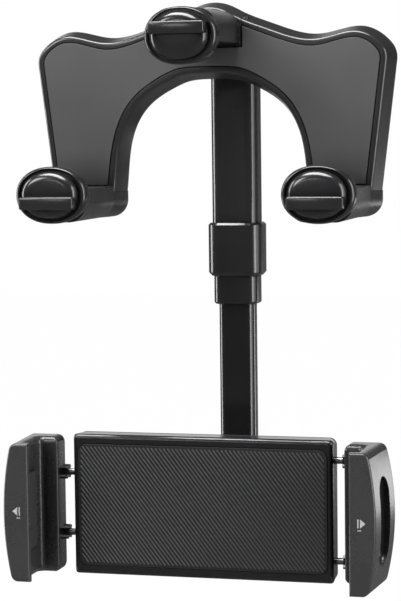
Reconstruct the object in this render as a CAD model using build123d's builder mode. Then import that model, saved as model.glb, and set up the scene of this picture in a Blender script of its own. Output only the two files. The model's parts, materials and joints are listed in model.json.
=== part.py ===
"""Tablet holder that hangs from a car's rear view mirror.

A three-claw arched bracket grips the mirror, a telescopic pole swivels on its back, and a sprung
clamp hangs from the pole on a ball joint. Millimetres, +X to the viewer's right, +Z up, and the
mirror's back lies on the plane Y = 0 with the claws reaching forward, towards -Y.
"""
import os

from build123d import *

# Bracket outline at its widest, right half
hump_top = 18.1
hump_x, hump_z = 13.9, 13.4
flank_x, flank_z = 26.5, 8.5
tail_x, tail_z = 38.5, 4.4
dip_x, dip_z = 49.2, 3.2
shoulder_x, shoulder_z = 69.5, 6.0
corner_x, corner_z = 80.0, -0.2
side_x, side_z = 83.3, -9.3
foot_out, foot_in, foot_z = 76.3, 42.7, -66.8
leg_x, leg_z = 38.4, -39.0
haunch_x, haunch_z = 31.1, -27.7
spring_x, spring_z = 16.7, -18.8
arch_top = -16.3
side_lean = (side_x - foot_out) / (side_z - foot_z)

# Bracket shell, cover and pad
border_y = 0.3
shell_depth = 12.0
flare = 2.7
wall = 2.2
border_w = 2.6
rim_round = 1.6
groove = 0.4
pad_t = 1.3
recess_t = 1.5
pad_foot = -64.2
cover_t = 4.0
cover_round = 3.2
cavity_y = border_y + recess_t + 1.4
cover_back = shell_depth + cover_t

# Fastening of the cover
boss_r = 3.2
pilot_r = 1.25
screw_r = 1.2
screw_head_r = 2.5
screw_head_t = 1.8
screw_len = 9.0
side_boss_x, side_boss_z = 68.0, -6.0
leg_boss_x, leg_boss_z = 58.0, -46.0
hump_boss_x, hump_boss_z = 28.0, -12.0
right_bosses = [(side_boss_x, side_boss_z), (leg_boss_x, leg_boss_z), (hump_boss_x, hump_boss_z)]
boss_points = [(s * x, z) for x, z in right_bosses for s in (-1, 1)]
tenon_z = -60.5

# Claws
claw_x = 59.5
claw_z = -70.0
top_claw_z = 4.75
arm_w = 28.4
arm_flat = 5.6
arm_round = 8.8
arm_corner = 8.0
arm_bevel = 1.4
arm_end = -42.0
fit_gap = 0.05
run_gap = 0.05

# Turning claw heads
head_back = arm_end - 0.2
flange_w, flange_h, flange_t = 32.4, 25.0, 6.4
flange_shift = 3.3
dome_w, dome_h, dome_t = 25.2, 16.6, 3.6
dome_shift = 2.1
moat_w, moat_t = 1.3, 1.2
flange_round, dome_round = 2.6, 3.4
bar_l, bar_h, bar_t = 24.6, 5.4, 6.8
stem_r, stem_l = 2.6, 6.6
head_screw_r, head_screw_len = 1.2, 8.0
washer_r, washer_t = 3.5, 0.8
access_r = 3.7
web_y = arm_end + stem_l - 0.5

# Sprung slider of the top claw
slider_w = 30.0
slider_gap = 0.2
slider_low = top_claw_z - arm_flat - 1.2
slider_back = shell_depth - 0.25
tongue_back, tongue_t, tongue_low = 7.4, 3.2, -10.8
tongue_y = shell_depth - tongue_back
tongue_w, ear_w, ear_h = 26.0, 33.2, 3.4
rail_low, rail_w = 7.9, 2.2
coil_r, coil_wire = 2.5, 0.6
coil_back = 3.6
coil_y = shell_depth - coil_back
peg_r, peg_z, post_z = 1.2, 12.0, -9.0

# Swivel behind the bracket
swivel_r = 15.0
swivel_boss_t = 5.5
friction_t = 1.0
pole_y = 50.0
pivot_r = 4.0
pivot_head_r, pivot_head_t = 7.0, 3.0
nut_recess_r, nut_recess_y = 10.0, 44.0
nut_r, nut_t = 7.2, 5.5
cap_t = 2.6

# Telescopic pole: outside width, depth and corner of each stage
outer_w, outer_d, outer_c, outer_wall = 22.0, 17.0, 5.0, 1.3
mid_wall, inner_wall = 1.0, 1.2
slide_gap = 0.1
mid_w, mid_d = outer_w - 2 * outer_wall - 2 * slide_gap, outer_d - 2 * outer_wall - 2 * slide_gap
inner_w, inner_d = mid_w - 2 * mid_wall - 2 * slide_gap, mid_d - 2 * mid_wall - 2 * slide_gap
mid_c, inner_c = 4.0, 3.8
outer_top, collar_top, collar_low = -15.0, -83.2, -108.3
collar_grow, collar_lip = 2.0, 2.0
mid_top, mid_low = -30.0, -121.7
mid_collar_shrink = 0.4
inner_top, inner_low = -101.5, -200.0
spigot_l = 12.0

# Ball joint behind the clamp
clamp_z = -207.4
ball_y, ball_r = 12.0, 9.0
stem_ball_r, neck_r = 3.5, 6.0
neck_in, neck_l, cone_l = 3.0, 16.0, 5.0
liner_gap, liner_t = 0.1, 1.3
liner_l, liner_shift = 10.0, 0.9
socket_r = ball_r + 2 * liner_gap + liner_t
thread_r = 12.5
lock_r = 15.5
lock_mouth_r = 8.2
lock_front, lock_back = -1.0, 19.5
boss_back = ball_y - 1.6

# Clamp body
body_w, body_h = 119.6, 63.8
body_front, body_split, body_back = -22.1, -13.3, -9.3
body_wall = 3.0
body_edge = 2.0
body_corner = 3.4
grip_side, grip_h, grip_c = 2.5, 55.2, 4.0
grip_w = body_w - 2 * grip_side
grip_t, grip_proud = 1.5, 0.3
rod_y, rod_r = -16.5, 1.5
rod_z_left, rod_z_right = 13.85, 22.5
rod_inset, rod_grip = 10.8, 1.6
rod_in = body_w / 2 - rod_inset
rod_stop_r, rod_stop_t = 2.6, 1.6
body_boss_r = 3.4
body_screw_in, body_screw_z, body_screw_len = 9.8, 7.0, 8.0
body_screw_x = body_w / 2 - body_screw_in
body_screw_points = [(s * body_screw_x, t * body_screw_z) for s in (-1, 1) for t in (-1, 1)]

# Jaws
jaw_h = 62.0
lip_front, lip_t = -49.3, 3.8
jaw_gap, jaw_reach, lip_reach = 6.0, 8.6, 2.3
jaw_in = body_w / 2 + jaw_gap
jaw_wall_x = jaw_in + jaw_reach
lip_in = jaw_wall_x - lip_reach
rod_out = jaw_wall_x + rod_grip
jaw_thick, jaw_bow, lip_step, lip_bow = 12.4, 4.2, 3.0, 3.5
jaw_mid = jaw_wall_x + jaw_thick
jaw_end = jaw_mid - jaw_bow
lip_mid = jaw_mid - lip_step
lip_end = lip_mid - lip_bow
jaw_rest_y, jaw_back = -26.2, -12.9
slot_w, slot_l, slot_y, slot_wall = 15.4, 39.4, -32.4, 5.0
slot_scoop = 4.0
slot_floor = jaw_wall_x + slot_wall
jaw_round, jaw_corner = 4.0, 3.4
channel_round, lip_round, lip_edge = 2.2, 0.9, 1.2
jaw_pad_t = 0.8
jaw_pad_front, jaw_pad_back, jaw_pad_h = -44.6, -33.0, 34.0
boss_len, boss_core_r, boss_rib_l, boss_rib_w = 2.2, 2.4, 7.2, 1.4

os.makedirs("parts", exist_ok=True)


def at_y(y):
    """Upright sketch plane at depth y, drawn in X and Z and facing the viewer."""
    return Plane.XZ.offset(-y)


def bracket_face(inset, y, foot):
    """Arched outline of the bracket, moved inwards by inset, on the plane at depth y."""
    with BuildSketch(at_y(y)) as face:
        with BuildLine():
            Spline(
                (0, hump_top - inset),
                (hump_x, hump_z - inset),
                (flank_x, flank_z - inset),
                (tail_x, tail_z - inset),
                (dip_x, dip_z - inset),
                (shoulder_x, shoulder_z - inset),
                (corner_x - 0.7 * inset, corner_z - 0.7 * inset),
                (side_x - inset, side_z),
                tangents=((1, 0), (-side_lean, -1)),
            )
            out_x = side_x - inset - side_lean * (side_z - foot)
            in_x = foot_in + inset
            Line((side_x - inset, side_z), (out_x, foot))
            Line((out_x, foot), (in_x, foot))
            Spline(
                (in_x, foot),
                (leg_x + inset, leg_z),
                (haunch_x + 0.8 * inset, haunch_z + 0.6 * inset),
                (spring_x + 0.4 * inset, spring_z + inset),
                (0, arch_top + inset),
                tangents=((-0.12, 1), (-1, 0)),
            )
            Line((0, arch_top + inset), (0, hump_top - inset))
        make_face()
        mirror(about=Plane.YZ)
    return face.sketch


def claw_section(x, z, side, flat, width, y):
    """D-shaped claw section round the axis (x, z): flat towards the mirror, rounded away from it."""
    with BuildSketch(at_y(y)) as section:
        with Locations((x, z + side * (flat - arm_round) / 2)):
            Rectangle(width, flat + arm_round)
        by_height = section.vertices().sort_by(Axis.Y)
        far = by_height[:2] if side > 0 else by_height[-2:]
        near = by_height[-2:] if side > 0 else by_height[:2]
        fillet(far, arm_corner)
        chamfer(near, arm_bevel)
    return section.sketch


def oval(x, z, width, height, y):
    """Four-arc oval centred at (x, z) on the plane at depth y."""
    a, b = width / 2, height / 2
    end_r = 0.75 * b
    side_r = (a**2 + b**2 - 2 * a * end_r) / (2 * (b - end_r))
    run = side_r / (side_r - end_r)
    meet_x = (a - end_r) * run
    meet_z = (side_r - b) * (run - 1)
    with BuildSketch(at_y(y)) as sketch:
        with BuildLine():
            for s in (-1, 1):
                ThreePointArc((x + s * meet_x, z - meet_z), (x + s * a, z), (x + s * meet_x, z + meet_z))
                ThreePointArc((x - meet_x, z + s * meet_z), (x, z + s * b), (x + meet_x, z + s * meet_z))
        make_face()
    return sketch.sketch


def disc(x, z, radius, y):
    """Round sketch at (x, z) on the plane at depth y."""
    with BuildSketch(at_y(y)) as sketch:
        with Locations((x, z)):
            Circle(radius)
    return sketch.sketch


def tube_section(width, depth, corner, z):
    """Rounded-rectangle pole section on the level z."""
    with BuildSketch(Plane.XY.offset(z)) as sketch:
        with Locations((0, pole_y)):
            RectangleRounded(width, depth, corner)
    return sketch.sketch


# Bracket shell
with BuildPart() as bracket_shell:
    loft([bracket_face(flare, border_y, foot_z), bracket_face(0, shell_depth, foot_z)], ruled=True)
    shell_rim = bracket_shell.faces().sort_by(Axis.Y)[0].edges()
    fillet(shell_rim.filter_by(lambda edge: edge.center().Z > foot_z + 1.0), rim_round)
    loft(
        [
            bracket_face(flare + wall, cavity_y, foot_z + wall),
            bracket_face(wall, shell_depth, foot_z + wall),
        ],
        ruled=True,
        mode=Mode.SUBTRACT,
    )
    for x, z in boss_points:
        extrude(disc(x, z, boss_r, shell_depth), amount=shell_depth - cavity_y)
    for x, z in boss_points:
        extrude(disc(x, z, pilot_r, shell_depth), amount=screw_len - 0.6, mode=Mode.SUBTRACT)
    extrude(bracket_face(flare + border_w, border_y, pad_foot), amount=-recess_t, mode=Mode.SUBTRACT)
    with BuildSketch(at_y(shell_depth)) as rail_sketch:
        for s in (-1, 1):
            with Locations((s * (slider_w / 2 + slider_gap + rail_w / 2), rail_low)):
                Rectangle(rail_w, 3.0, align=(Align.CENTER, Align.MIN))
    extrude(amount=shell_depth - cavity_y)
    with BuildSketch(at_y(shell_depth)) as notch_sketch:
        with Locations((0, slider_low - slider_gap)):
            Rectangle(slider_w + 2 * slider_gap, 40, align=(Align.CENTER, Align.MIN))
    extrude(amount=shell_depth, mode=Mode.SUBTRACT)
    with BuildSketch(Plane.XY.offset(foot_z)) as tenon_slots:
        with Locations((-claw_x, 7.0), (claw_x, 7.0)):
            Rectangle(15.3, 5.3)
    extrude(amount=wall, mode=Mode.SUBTRACT)
bracket_shell.part.label = "bracket_shell"
export_step(bracket_shell.part, "parts/bracket_shell.step")

# Soft pad let into the bracket's face
with BuildPart() as mirror_pad:
    extrude(bracket_face(flare + border_w + groove, 0, pad_foot + groove), amount=-pad_t)
    with BuildSketch(at_y(0)) as pad_notch:
        with Locations((0, slider_low - slider_gap - groove)):
            Rectangle(slider_w + 2 * slider_gap + 2 * groove, 40, align=(Align.CENTER, Align.MIN))
    extrude(amount=-pad_t, mode=Mode.SUBTRACT)
mirror_pad.part.label = "mirror_pad"
export_step(mirror_pad.part, "parts/mirror_pad.step")

# Rear cover with the swivel boss and the spring's lower post
with BuildPart() as bracket_cover:
    extrude(bracket_face(0, shell_depth, foot_z), amount=-cover_t)
    fillet(bracket_cover.faces().sort_by(Axis.Y)[-1].edges(), cover_round)
    extrude(disc(0, 0, swivel_r, cover_back), amount=-swivel_boss_t)
    extrude(disc(0, post_z, peg_r + 0.3, shell_depth), amount=coil_back + coil_r + 0.3)
    extrude(disc(0, 0, pivot_r + run_gap, shell_depth), amount=-(cover_t + swivel_boss_t), mode=Mode.SUBTRACT)
    with BuildSketch(at_y(shell_depth)) as head_pocket:
        RegularPolygon(pivot_head_r + 0.1, 6)
    extrude(amount=-(pivot_head_t + 0.2), mode=Mode.SUBTRACT)
    for x, z in boss_points + [(-claw_x, tenon_z), (claw_x, tenon_z)]:
        extrude(disc(x, z, screw_r + 0.2, cover_back), amount=cover_t, mode=Mode.SUBTRACT)
        extrude(disc(x, z, screw_head_r + 0.2, cover_back), amount=screw_head_t + 0.2, mode=Mode.SUBTRACT)
bracket_cover.part.label = "bracket_cover"
export_step(bracket_cover.part, "parts/bracket_cover.step")

# Screws of the rear cover
with BuildPart() as cover_screws:
    for x, z in boss_points + [(-claw_x, tenon_z), (claw_x, tenon_z)]:
        extrude(disc(x, z, screw_head_r, cover_back - 0.2), amount=screw_head_t)
        extrude(disc(x, z, screw_r, cover_back - 0.2), amount=screw_len)
cover_screws.part.label = "cover_screws"
export_step(cover_screws.part, "parts/cover_screws.step")


def foot_claw(side):
    """Lower claw arm at one foot of the bracket, with its tenon and the access bore of its head."""
    x = side * claw_x
    flat_low = foot_z - fit_gap - claw_z
    lean_x = side * 0.1
    with BuildPart() as claw:
        front_w = foot_out - foot_in - 2 * flare - 0.2
        back_w = foot_out - foot_in - 0.2
        extrude(claw_section(x, claw_z, 1, arm_flat, arm_w, 0), amount=-arm_end)
        loft(
            [
                claw_section(x, claw_z, 1, flat_low, front_w, 0),
                claw_section(x + lean_x, claw_z, 1, flat_low, back_w, shell_depth),
            ],
            ruled=True,
        )
        extrude(claw_section(x + lean_x, claw_z, 1, flat_low, back_w, shell_depth), amount=-cover_t)
        fillet(claw.faces().sort_by(Axis.Y)[-1].edges(), 1.6)
        with BuildSketch(Plane.XY.offset(foot_z - fit_gap - 1.0)) as tenon:
            with Locations((x, 7.0)):
                Rectangle(15.0, 5.0)
        extrude(amount=tenon_z + 3.4 - foot_z + fit_gap + 1.0)
        extrude(disc(x, tenon_z, pilot_r, 9.5), amount=5.0, mode=Mode.SUBTRACT)
        extrude(disc(x, claw_z, access_r, cover_back), amount=cover_back - web_y, mode=Mode.SUBTRACT)
        extrude(disc(x, claw_z, stem_r + run_gap, web_y), amount=web_y - arm_end, mode=Mode.SUBTRACT)
    return claw.part


def claw_head(x, z, side):
    """Turning oval head of a claw: eccentric flange, domed face, finger bar and stem."""
    face_y = head_back - flange_t
    dome_z = z + side * dome_shift
    with BuildPart() as head:
        extrude(oval(x, z + side * flange_shift, flange_w, flange_h, head_back), amount=flange_t)
        fillet(head.faces().sort_by(Axis.Y)[0].edges(), flange_round)
        chamfer(head.faces().sort_by(Axis.Y)[-1].edges(), 0.8)
        extrude(oval(x, dome_z, dome_w + 2 * moat_w, dome_h + 2 * moat_w, face_y), amount=-moat_t, mode=Mode.SUBTRACT)
        extrude(oval(x, dome_z, dome_w, dome_h, face_y + moat_t), amount=dome_t + moat_t)
        fillet(head.faces().sort_by(Axis.Y)[0].edges(), dome_round)
        with BuildSketch(at_y(face_y + 0.5)) as bar:
            with Locations((x, z)):
                RectangleRounded(bar_l, bar_h, 0.7)
        extrude(amount=bar_t + 0.5)
        chamfer(head.faces().sort_by(Axis.Y)[0].edges(), 0.4)
        extrude(disc(x, z, stem_r, head_back), amount=-stem_l)
        extrude(disc(x, z, head_screw_r + run_gap, head_back + stem_l), amount=head_screw_len, mode=Mode.SUBTRACT)
    return head.part


def head_screw(x, z):
    """Screw and washer that hold a claw head in its arm."""
    seat = head_back + stem_l + 0.05
    with BuildPart() as screw:
        extrude(disc(x, z, head_screw_r, seat), amount=head_screw_len - 0.5)
        extrude(disc(x, z, washer_r, seat), amount=-washer_t)
        extrude(disc(x, z, 2 * head_screw_r, seat + washer_t), amount=-2.2)
    return screw.part


left_claw_arm = foot_claw(-1)
left_claw_arm.label = "left_claw_arm"
export_step(left_claw_arm, "parts/left_claw_arm.step")

right_claw_arm = foot_claw(1)
right_claw_arm.label = "right_claw_arm"
export_step(right_claw_arm, "parts/right_claw_arm.step")

left_claw_head = claw_head(-claw_x, claw_z, 1)
left_claw_head.label = "left_claw_head"
export_step(left_claw_head, "parts/left_claw_head.step")

right_claw_head = claw_head(claw_x, claw_z, 1)
right_claw_head.label = "right_claw_head"
export_step(right_claw_head, "parts/right_claw_head.step")

top_claw_head = claw_head(0, top_claw_z, -1)
top_claw_head.label = "top_claw_head"
export_step(top_claw_head, "parts/top_claw_head.step")

left_head_screw = head_screw(-claw_x, claw_z)
left_head_screw.label = "left_head_screw"
export_step(left_head_screw, "parts/left_head_screw.step")

right_head_screw = head_screw(claw_x, claw_z)
right_head_screw.label = "right_head_screw"
export_step(right_head_screw, "parts/right_head_screw.step")

top_head_screw = head_screw(0, top_claw_z)
top_head_screw.label = "top_head_screw"
export_step(top_head_screw, "parts/top_head_screw.step")

# Top claw: the crown of the hump slides up on a tongue with two ears
with BuildPart() as top_claw_slider:
    loft([bracket_face(flare, border_y, foot_z), bracket_face(0, shell_depth, foot_z)], ruled=True)
    crown_rim = top_claw_slider.faces().sort_by(Axis.Y)[0].edges()
    fillet(crown_rim.filter_by(lambda edge: edge.center().Z > foot_z + 1.0), rim_round)
    with BuildSketch(at_y(slider_back)) as slider_cut:
        with Locations((0, slider_low)):
            Rectangle(slider_w, 40, align=(Align.CENTER, Align.MIN))
    extrude(amount=slider_back, mode=Mode.INTERSECT)
    extrude(claw_section(0, top_claw_z, -1, arm_flat, arm_w, 1.0), amount=1.0 - arm_end)
    with BuildSketch(at_y(tongue_y)) as tongue:
        with Locations((0, slider_low + 1.0)):
            Rectangle(tongue_w, slider_low + 1.0 - tongue_low, align=(Align.CENTER, Align.MAX))
        with Locations((0, tongue_low)):
            Rectangle(ear_w, ear_h, align=(Align.CENTER, Align.MIN))
    extrude(amount=-tongue_t)
    with BuildSketch(at_y(slider_back)) as channel:
        with Locations((0, tongue_low - 1.0)):
            Rectangle(2 * coil_r + 2.0, peg_z + 3.0 - tongue_low, align=(Align.CENTER, Align.MIN))
    extrude(amount=slider_back - tongue_y + 0.2, mode=Mode.SUBTRACT)
    extrude(disc(0, top_claw_z, access_r, slider_back), amount=slider_back - web_y, mode=Mode.SUBTRACT)
    extrude(disc(0, top_claw_z, stem_r + run_gap, web_y), amount=web_y - arm_end, mode=Mode.SUBTRACT)
    extrude(disc(0, peg_z, peg_r, slider_back - 0.3), amount=slider_back - tongue_y)
top_claw_slider.part.label = "top_claw_slider"
export_step(top_claw_slider.part, "parts/top_claw_slider.step")

# Tension spring of the top claw, as its coil's sleeve
with BuildPart() as top_claw_spring:
    coil_low = post_z + peg_r + 0.3 + 0.2
    coil_high = peg_z - peg_r - 0.2
    with BuildSketch(Plane.XY.offset(coil_low)) as coil_sketch:
        with Locations((0, coil_y)):
            Circle(coil_r)
            Circle(coil_r - coil_wire, mode=Mode.SUBTRACT)
    extrude(amount=coil_high - coil_low)
top_claw_spring.part.label = "top_claw_spring"
export_step(top_claw_spring.part, "parts/top_claw_spring.step")

# Swivel
friction_y = cover_back + swivel_boss_t
with BuildPart() as friction_washer:
    extrude(disc(0, 0, swivel_r - 1.5, friction_y), amount=-friction_t)
    extrude(disc(0, 0, pivot_r + 0.2, friction_y), amount=-friction_t, mode=Mode.SUBTRACT)
friction_washer.part.label = "friction_washer"
export_step(friction_washer.part, "parts/friction_washer.step")

hub_y = friction_y + friction_t + 0.1
hub_back = pole_y + outer_d / 2
with BuildPart() as pole_head:
    extrude(disc(0, 0, swivel_r, hub_y), amount=-(hub_back - hub_y))
    extrude(tube_section(outer_w, outer_d, outer_c, outer_top), amount=-outer_top)
    chamfer(pole_head.faces().sort_by(Axis.Y)[0].edges(), 0.8)
    spigot_w, spigot_d = mid_w - 0.1, mid_d - 0.1
    extrude(tube_section(spigot_w, spigot_d, mid_c, outer_top - spigot_l), amount=spigot_l)
    extrude(disc(0, 0, pivot_r + run_gap, hub_y), amount=-(nut_recess_y - hub_y), mode=Mode.SUBTRACT)
    extrude(disc(0, 0, nut_recess_r, nut_recess_y), amount=-(hub_back - nut_recess_y), mode=Mode.SUBTRACT)
pole_head.part.label = "pole_head"
export_step(pole_head.part, "parts/pole_head.step")

with BuildPart() as pivot_bolt:
    with BuildSketch(at_y(shell_depth + 0.1)) as bolt_head:
        RegularPolygon(pivot_head_r, 6)
    extrude(amount=-pivot_head_t)
    extrude(disc(0, 0, pivot_r, shell_depth + 0.1), amount=-(nut_recess_y + nut_t + 2.0 - shell_depth))
pivot_bolt.part.label = "pivot_bolt"
export_step(pivot_bolt.part, "parts/pivot_bolt.step")

with BuildPart() as pivot_nut:
    with BuildSketch(at_y(nut_recess_y + 0.1)) as nut_sketch:
        RegularPolygon(nut_r, 6)
        Circle(pivot_r + 0.03, mode=Mode.SUBTRACT)
    extrude(amount=-nut_t)
pivot_nut.part.label = "pivot_nut"
export_step(pivot_nut.part, "parts/pivot_nut.step")

with BuildPart() as pivot_cap:
    extrude(disc(0, 0, nut_recess_r - 0.1, hub_back - cap_t), amount=-cap_t)
    chamfer(pivot_cap.faces().sort_by(Axis.Y)[-1].edges(), 0.6)
pivot_cap.part.label = "pivot_cap"
export_step(pivot_cap.part, "parts/pivot_cap.step")

# Telescopic pole
outer_low = collar_low + collar_lip + 0.1
bore_w, bore_d, bore_c = outer_w - 2 * outer_wall, outer_d - 2 * outer_wall, outer_c - outer_wall
with BuildPart() as outer_tube:
    extrude(tube_section(outer_w, outer_d, outer_c, outer_low), amount=outer_top - 0.05 - outer_low)
    extrude(tube_section(bore_w, bore_d, bore_c, outer_low), amount=outer_top - outer_low, mode=Mode.SUBTRACT)
outer_tube.part.label = "outer_tube"
export_step(outer_tube.part, "parts/outer_tube.step")

with BuildPart() as outer_collar:
    grown_w, grown_d = outer_w + 2 * collar_grow, outer_d + 2 * collar_grow
    extrude(tube_section(grown_w, grown_d, outer_c + collar_grow, collar_low), amount=collar_top - collar_low)
    chamfer(outer_collar.faces().sort_by(Axis.Z)[-1].edges(), 1.0)
    chamfer(outer_collar.faces().sort_by(Axis.Z)[0].edges(), 1.7)
    extrude(
        tube_section(outer_w + 0.06, outer_d + 0.06, outer_c + 0.03, outer_low - 0.05),
        amount=collar_top - outer_low + 0.05,
        mode=Mode.SUBTRACT,
    )
    extrude(tube_section(mid_w + 0.4, mid_d + 0.4, mid_c, collar_low), amount=collar_lip + 1.0, mode=Mode.SUBTRACT)
outer_collar.part.label = "outer_collar"
export_step(outer_collar.part, "parts/outer_collar.step")

mid_tube_low = mid_low + 1.5
mid_bore_w, mid_bore_d, mid_bore_c = mid_w - 2 * mid_wall, mid_d - 2 * mid_wall, mid_c - mid_wall
with BuildPart() as mid_tube:
    extrude(tube_section(mid_w, mid_d, mid_c, mid_tube_low), amount=mid_top - mid_tube_low)
    extrude(
        tube_section(mid_bore_w, mid_bore_d, mid_bore_c, mid_tube_low),
        amount=mid_top - mid_tube_low,
        mode=Mode.SUBTRACT,
    )
mid_tube.part.label = "mid_tube"
export_step(mid_tube.part, "parts/mid_tube.step")

with BuildPart() as mid_collar:
    ring_w, ring_d = outer_w - 2 * mid_collar_shrink, outer_d - 2 * mid_collar_shrink
    extrude(tube_section(ring_w, ring_d, outer_c, mid_low), amount=collar_low - 0.3 - mid_low)
    fillet(mid_collar.faces().sort_by(Axis.Z)[0].edges(), 1.4)
    extrude(
        tube_section(mid_w + 0.06, mid_d + 0.06, mid_c + 0.03, mid_tube_low - 0.05),
        amount=collar_low - mid_tube_low,
        mode=Mode.SUBTRACT,
    )
    extrude(tube_section(inner_w + 0.4, inner_d + 0.4, inner_c, mid_low), amount=2.4, mode=Mode.SUBTRACT)
mid_collar.part.label = "mid_collar"
export_step(mid_collar.part, "parts/mid_collar.step")

plug_w, plug_d, plug_c = inner_w - 2 * inner_wall, inner_d - 2 * inner_wall, inner_c - inner_wall
with BuildPart() as inner_tube:
    extrude(tube_section(inner_w, inner_d, inner_c, inner_low), amount=inner_top - inner_low)
    extrude(tube_section(plug_w, plug_d, plug_c, inner_low), amount=inner_top - inner_low, mode=Mode.SUBTRACT)
inner_tube.part.label = "inner_tube"
export_step(inner_tube.part, "parts/inner_tube.step")

# Ball arm at the pole's foot
with BuildPart() as ball_arm:
    extrude(tube_section(inner_w, inner_d, inner_c, inner_low - 0.05), amount=-(inner_low - clamp_z + 9.0))
    fillet(ball_arm.faces().sort_by(Axis.Z)[0].edges(), 1.5)
    extrude(tube_section(plug_w - 0.1, plug_d - 0.1, plug_c, inner_low - 0.05), amount=spigot_l)
    with BuildSketch(Plane.YZ) as ball_profile:
        with BuildLine():
            neck_y = pole_y - neck_in
            cone_y, stem_y = pole_y - neck_l, pole_y - neck_l - cone_l
            Line((neck_y, clamp_z), (neck_y, clamp_z + neck_r))
            Line((neck_y, clamp_z + neck_r), (cone_y, clamp_z + neck_r))
            Line((cone_y, clamp_z + neck_r), (stem_y, clamp_z + stem_ball_r))
            meet_y = ball_y + (ball_r**2 - stem_ball_r**2) ** 0.5
            Line((stem_y, clamp_z + stem_ball_r), (meet_y, clamp_z + stem_ball_r))
            ThreePointArc((meet_y, clamp_z + stem_ball_r), (ball_y, clamp_z + ball_r), (ball_y - ball_r, clamp_z))
            Line((ball_y - ball_r, clamp_z), (neck_y, clamp_z))
        make_face()
    revolve(axis=Axis((0, 0, clamp_z), (0, 1, 0)))
ball_arm.part.label = "ball_arm"
export_step(ball_arm.part, "parts/ball_arm.step")

# Liner between the ball and its socket
with BuildPart() as ball_liner:
    liner_in, liner_out = ball_r + liner_gap, ball_r + liner_gap + liner_t
    with BuildSketch(Plane.YZ) as liner_profile:
        with Locations((ball_y, clamp_z)):
            Circle(liner_out)
            Circle(liner_in, mode=Mode.SUBTRACT)
        with Locations((ball_y - liner_shift, clamp_z)):
            Rectangle(liner_l, 2 * liner_out + 2, align=(Align.CENTER, Align.MIN), mode=Mode.INTERSECT)
    revolve(axis=Axis((0, 0, clamp_z), (0, 1, 0)))
ball_liner.part.label = "ball_liner"
export_step(ball_liner.part, "parts/ball_liner.step")

# Lock nut of the ball joint
with BuildPart() as lock_nut:
    step_y = boss_back + 0.2
    with BuildSketch(Plane.YZ) as nut_profile:
        with BuildLine():
            Polyline(
                (lock_front, clamp_z + thread_r + run_gap),
                (lock_front, clamp_z + lock_r),
                (lock_back, clamp_z + lock_r),
                (lock_back, clamp_z + lock_mouth_r + 1.2),
                (lock_back - 1.2, clamp_z + lock_mouth_r),
                (step_y, clamp_z + lock_mouth_r),
                (step_y, clamp_z + thread_r + run_gap),
                close=True,
            )
        make_face()
        chamfer(nut_profile.vertices().group_by(Axis.Y)[-1], 1.3)
    revolve(axis=Axis((0, 0, clamp_z), (0, 1, 0)))
    with Locations((0, ball_y, clamp_z)):
        Sphere(socket_r, mode=Mode.SUBTRACT)
    with BuildSketch(at_y(lock_front + 3.0)) as scallops:
        with Locations((0, clamp_z)):
            with PolarLocations(lock_r + 0.9, 12):
                Circle(1.9)
    extrude(amount=-(lock_back - lock_front - 5.5), mode=Mode.SUBTRACT)
lock_nut.part.label = "lock_nut"
export_step(lock_nut.part, "parts/lock_nut.step")


def body_face(corner, y, shrink=0.0):
    """Rounded rectangle of the clamp body on the plane at depth y."""
    with BuildSketch(at_y(y)) as face:
        with Locations((0, clamp_z)):
            RectangleRounded(body_w - 2 * shrink, body_h - 2 * shrink, corner)
    return face.sketch


body_screws_at = [(x, clamp_z + z) for x, z in body_screw_points]

# Front frame of the clamp
with BuildPart() as clamp_frame:
    loft([body_face(0.8, body_front), body_face(body_corner, body_split)], ruled=True)
    front_edges = clamp_frame.faces().sort_by(Axis.Y)[0].edges().filter_by(Axis.X)
    fillet(front_edges, body_edge)
    floor_y = body_front + grip_t - grip_proud + 1.4
    extrude(body_face(3.0, body_split, body_wall), amount=body_split - floor_y, mode=Mode.SUBTRACT)
    with BuildSketch(at_y(body_front)) as grip_pocket:
        with Locations((0, clamp_z)):
            RectangleRounded(grip_w + 0.5, grip_h + 0.5, grip_c + 0.25)
    extrude(amount=-(grip_t - grip_proud), mode=Mode.SUBTRACT)
    for x, z in body_screws_at:
        extrude(disc(x, z, body_boss_r, body_split), amount=body_split - floor_y)
    for x, z in body_screws_at:
        extrude(disc(x, z, pilot_r, body_split), amount=5.2, mode=Mode.SUBTRACT)
    with BuildSketch(Plane.YZ.offset(-body_w / 2)) as left_holes:
        with Locations((rod_y, clamp_z - rod_z_left), (rod_y, clamp_z + rod_z_left)):
            Circle(rod_r + run_gap)
    extrude(amount=body_wall + 1.0, mode=Mode.SUBTRACT)
    with BuildSketch(Plane.YZ.offset(body_w / 2)) as right_holes:
        with Locations((rod_y, clamp_z - rod_z_right), (rod_y, clamp_z + rod_z_right)):
            Circle(rod_r + run_gap)
    extrude(amount=-body_wall - 1.0, mode=Mode.SUBTRACT)
clamp_frame.part.label = "clamp_frame"
export_step(clamp_frame.part, "parts/clamp_frame.step")

# Ribbed grip pad, whose fine ribs are left to the finish
with BuildPart() as grip_pad:
    with BuildSketch(at_y(body_front + grip_t - grip_proud)) as grip_sketch:
        with Locations((0, clamp_z)):
            RectangleRounded(grip_w, grip_h, grip_c)
    extrude(amount=grip_t)
grip_pad.part.label = "grip_pad"
export_step(grip_pad.part, "parts/grip_pad.step")

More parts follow.
